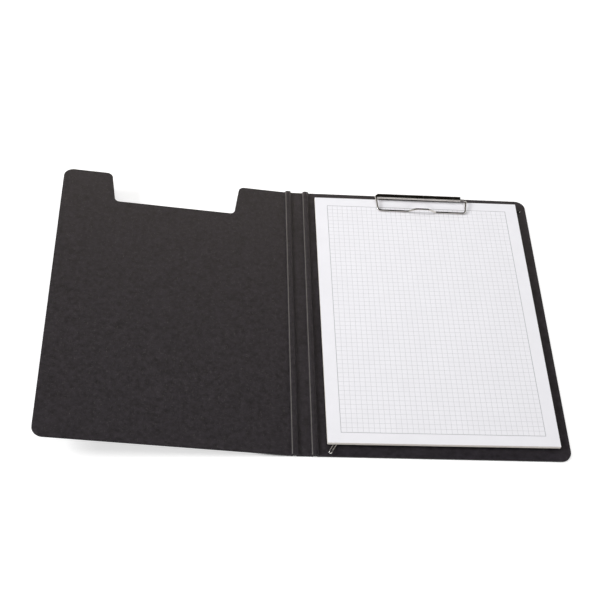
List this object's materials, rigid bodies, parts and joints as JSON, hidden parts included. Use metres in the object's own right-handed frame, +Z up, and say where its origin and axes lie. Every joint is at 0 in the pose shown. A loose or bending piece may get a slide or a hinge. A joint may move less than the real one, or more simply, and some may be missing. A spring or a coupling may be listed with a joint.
{
  "type": "clipboard folder",
  "caption": "A4 clipboard folder lying open: pressed-board cover with a notch for the clip, creased spine, sprung wire clip and a squared writing pad.",
  "frame": {"origin": "centre of the back panel's under side, the flat face the folder lies on", "axes": "+X across the open folder, from the spine to the back panel's free edge; +Y up the page, towards the clip; +Z up, out of the page"},
  "size_m": [0.4757, 0.318, 0.0247],
  "materials": {
    "pressboard": "matte, black through and through, finely mottled",
    "crease": "matte, pressed",
    "clip_steel": "nickel plated, bright",
    "bail_wire": "nickel plated wire, bright",
    "rivet_steel": "nickel plated, dull",
    "squared_paper": "matte white with fine grey squares",
    "plain_paper": "matte white, stacked edges",
    "grey_card": "rough grey board",
    "pad_glue": "dried white glue"
  },
  "bodies": {
    "back": {"back_panel": "pressboard", "back_crease": "crease", "clip_base": "clip_steel", "clip_rivets": "rivet_steel", "corner_keeper": "bail_wire", "corner_keeper_rivet": "rivet_steel", "side_keeper": "bail_wire", "side_keeper_rivet": "rivet_steel"},
    "spine": {"spine_panel": "pressboard", "front_crease": "crease"},
    "cover": {"cover_panel": "pressboard"},
    "bail": {"wire_bail": "bail_wire"},
    "pad": {"pad_backing": "grey_card", "pad_sheets": "plain_paper", "pad_top_sheet": "squared_paper", "pad_glue": "pad_glue"}
  },
  "joints": [
    {"name": "spine_fold", "type": "hinge", "parent": "back", "child": "spine", "pos_m": [-0.11545, 0, 0], "axis": [0, 1, 0], "range_deg": [-90.4, 89.6], "deforming": ["back_crease"]},
    {"name": "cover_fold", "type": "hinge", "parent": "spine", "child": "cover", "pos_m": [-0.13345, 0, 0.00013], "axis": [0, 1, 0], "range_deg": [-95.3, 84.7], "deforming": ["front_crease"]},
    {"name": "bail_swing", "type": "hinge", "parent": "back", "child": "bail", "pos_m": [0, 0.1507, 0.0105], "axis": [-1, 0, 0], "range_deg": [0, 110], "stiffness_Nm_per_rad": 0.08, "springref_deg": -68.75},
    {"name": "pad_out", "type": "slide", "parent": "back", "child": "pad", "axis": [1, 0, 0], "range_m": [0, 0.235]}
  ]
}
